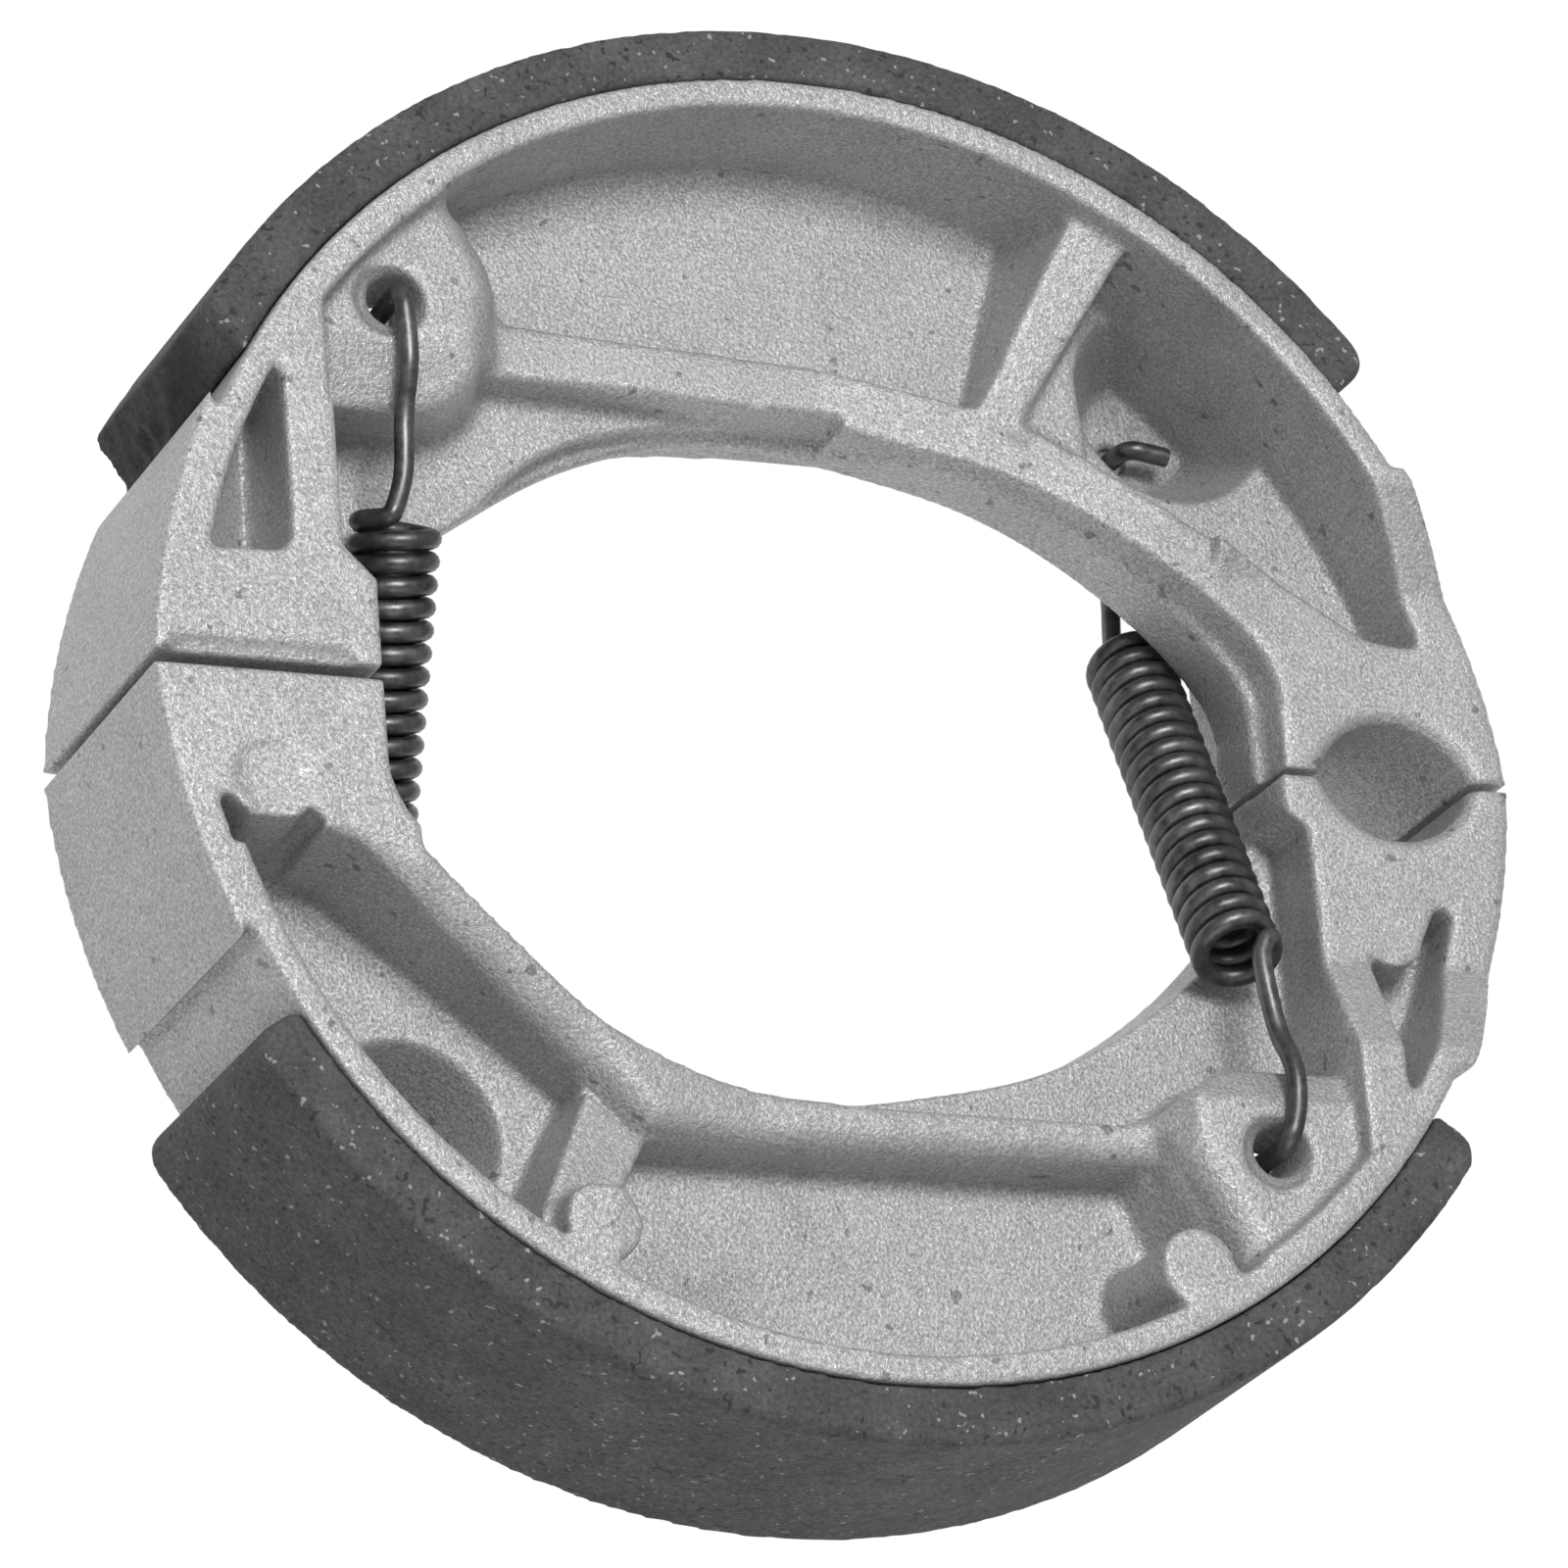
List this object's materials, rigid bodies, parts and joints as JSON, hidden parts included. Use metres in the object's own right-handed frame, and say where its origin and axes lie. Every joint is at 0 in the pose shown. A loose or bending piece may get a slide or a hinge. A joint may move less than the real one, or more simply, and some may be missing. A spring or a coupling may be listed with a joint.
{
  "type": "drum brake shoe pair",
  "caption": "Matched pair of die-cast drum brake shoes with bonded linings, held together by coil return springs, for a small motorcycle or scooter hub.",
  "frame": {"origin": "centre of the pair's outline on the back faces that it lies on; the split between the shoes is y = 0", "axes": "+X from the cam end towards the anchor pin, +Y across the split towards the upper shoe, +Z along the wheel axle towards the side seen in the picture"},
  "size_m": [0.1238, 0.1252, 0.028],
  "materials": {
    "cast_aluminium": "blasted as-cast",
    "friction_lining": "matte, speckled",
    "spring_steel": "oiled black"
  },
  "bodies": {
    "lower_shoe": {"lower_shoe_casting": "cast_aluminium", "lower_lining": "friction_lining", "cam_end_spring": "spring_steel", "anchor_end_spring": "spring_steel"},
    "upper_shoe": {"upper_shoe_casting": "cast_aluminium", "upper_lining": "friction_lining"}
  },
  "joints": [
    {"name": "shoe_swing", "type": "hinge", "parent": "lower_shoe", "child": "upper_shoe", "pos_m": [0.0514, 0, 0.014], "axis": [0, 0, -1], "range_deg": [0, 3], "stiffness_Nm_per_rad": 80, "springref_deg": -1.72, "deforming": ["cam_end_spring", "anchor_end_spring"]}
  ]
}
